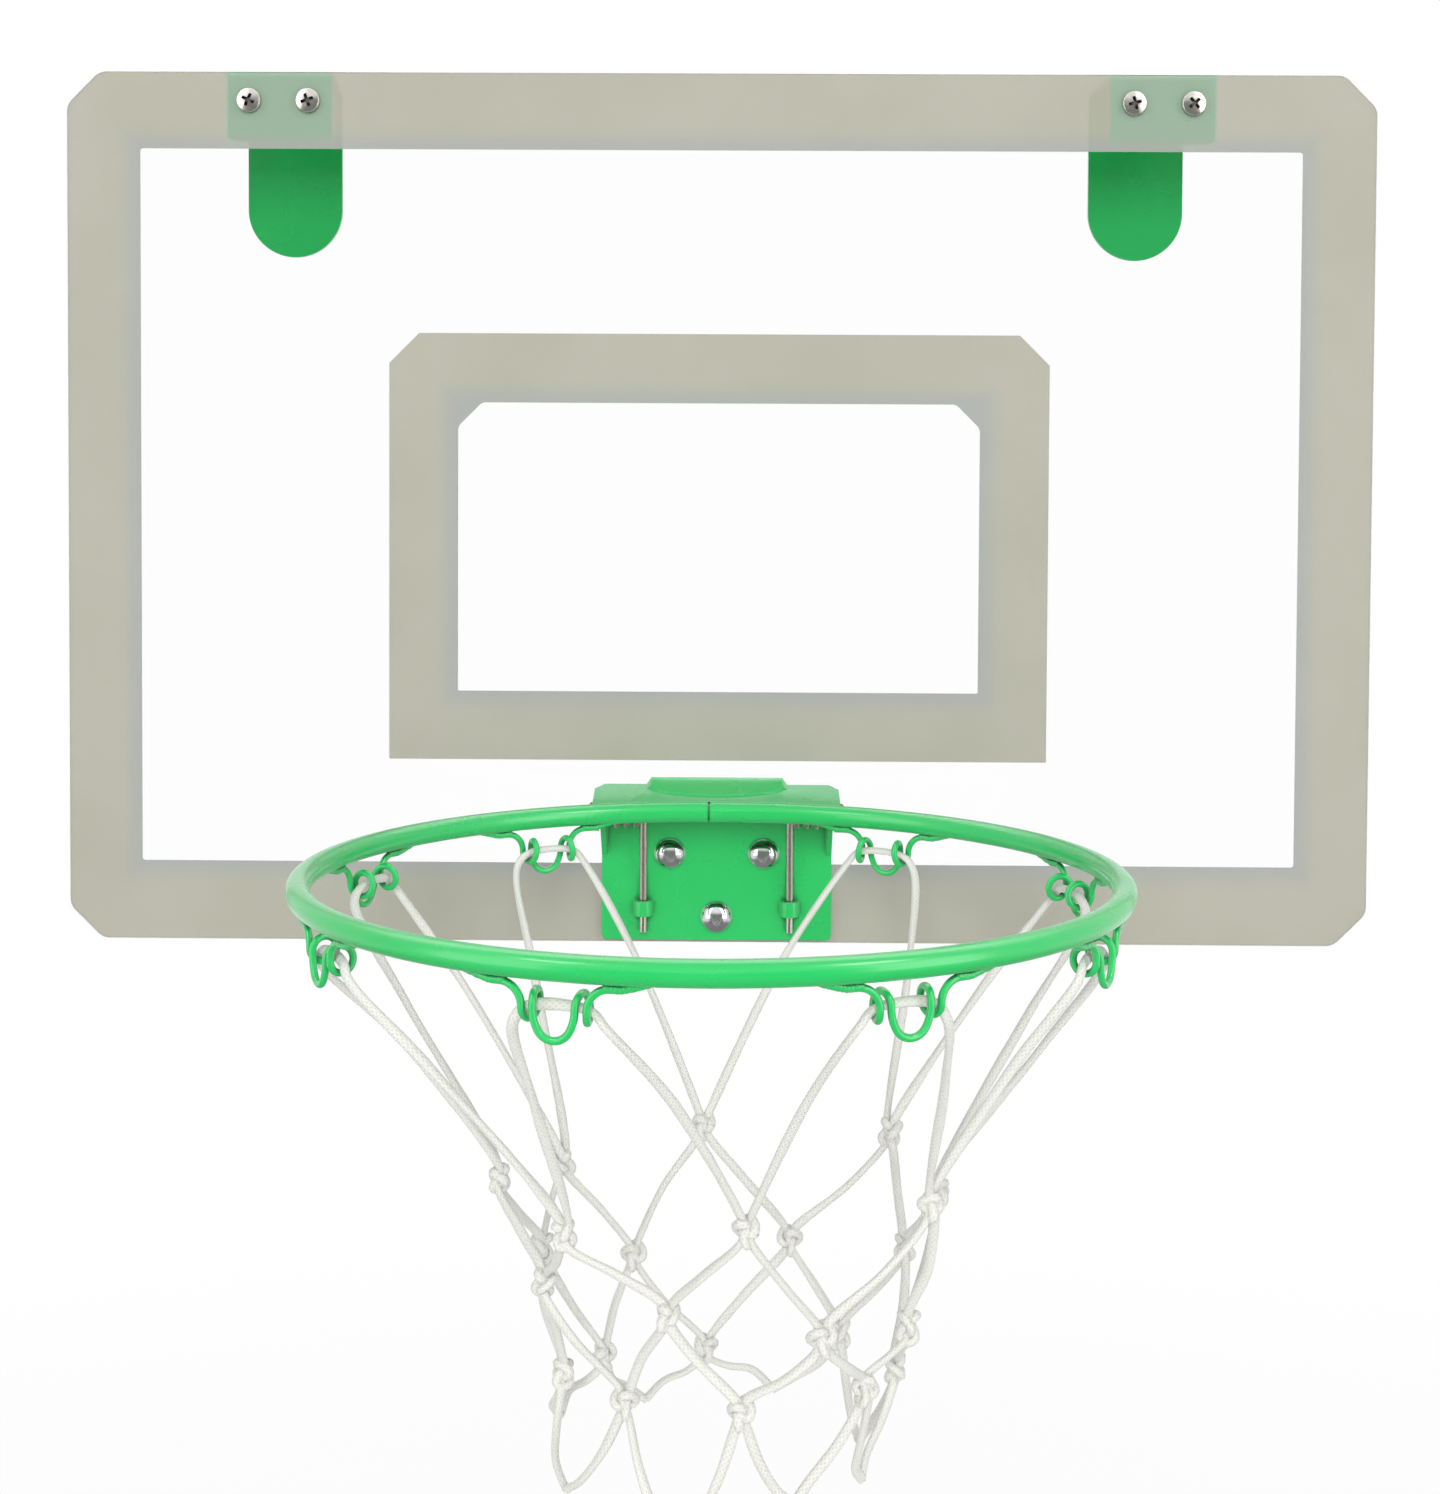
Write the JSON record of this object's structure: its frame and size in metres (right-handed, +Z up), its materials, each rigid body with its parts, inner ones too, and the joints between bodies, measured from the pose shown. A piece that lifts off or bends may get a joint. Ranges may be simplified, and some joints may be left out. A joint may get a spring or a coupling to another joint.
{
  "type": "over-door mini basketball goal",
  "caption": "Mini basketball goal for a door top: clear backboard with printed border and target, bent steel door hooks, sprung breakaway rim with wire clips and a knotted net.",
  "frame": {"origin": "midway between the hooks, on the door's top edge and front face: underside of the hook straps, back of the hook flanges", "axes": "+Z up, +X to the right seen from the front, +Y into the door, the rim stands out along -Y"},
  "size_m": [0.4572, 0.3041, 0.4264],
  "materials": {
    "clear_sheet": "clear gloss",
    "print_film": "satin print",
    "green_paint": "gloss",
    "bright_chrome": "bright",
    "nickel_screw": "nickel plated",
    "spring_steel": "spring steel",
    "zinc_plate": "zinc plated",
    "net_cord": "braided"
  },
  "bodies": {
    "backboard": {"backboard": "clear_sheet", "border_print": "print_film", "target_print": "print_film", "left_door_hook": "green_paint", "right_door_hook": "green_paint", "hook_screws": "nickel_screw", "mounting_plate": "green_paint", "bracket_bolts": "bright_chrome", "bracket_washers": "zinc_plate", "bracket_nuts": "zinc_plate", "hinge_pin": "spring_steel", "pin_cap": "spring_steel", "left_spring": "spring_steel", "right_spring": "spring_steel"},
    "rim": {"rim_plate": "green_paint", "rim_ring": "green_paint", "net_clip_1": "green_paint", "net_clip_2": "green_paint", "net_clip_3": "green_paint", "net_clip_4": "green_paint", "net_clip_5": "green_paint", "net_clip_6": "green_paint", "net_clip_7": "green_paint", "net_clip_8": "green_paint", "net": "net_cord"}
  },
  "joints": [
    {"name": "rim_breakaway", "type": "hinge", "parent": "backboard", "child": "rim", "pos_m": [0, -0.017, -0.2556], "axis": [1, 0, 0], "range_deg": [0, 30], "stiffness_Nm_per_rad": 6, "springref_deg": -57.3, "deforming": ["left_spring", "right_spring"]}
  ]
}
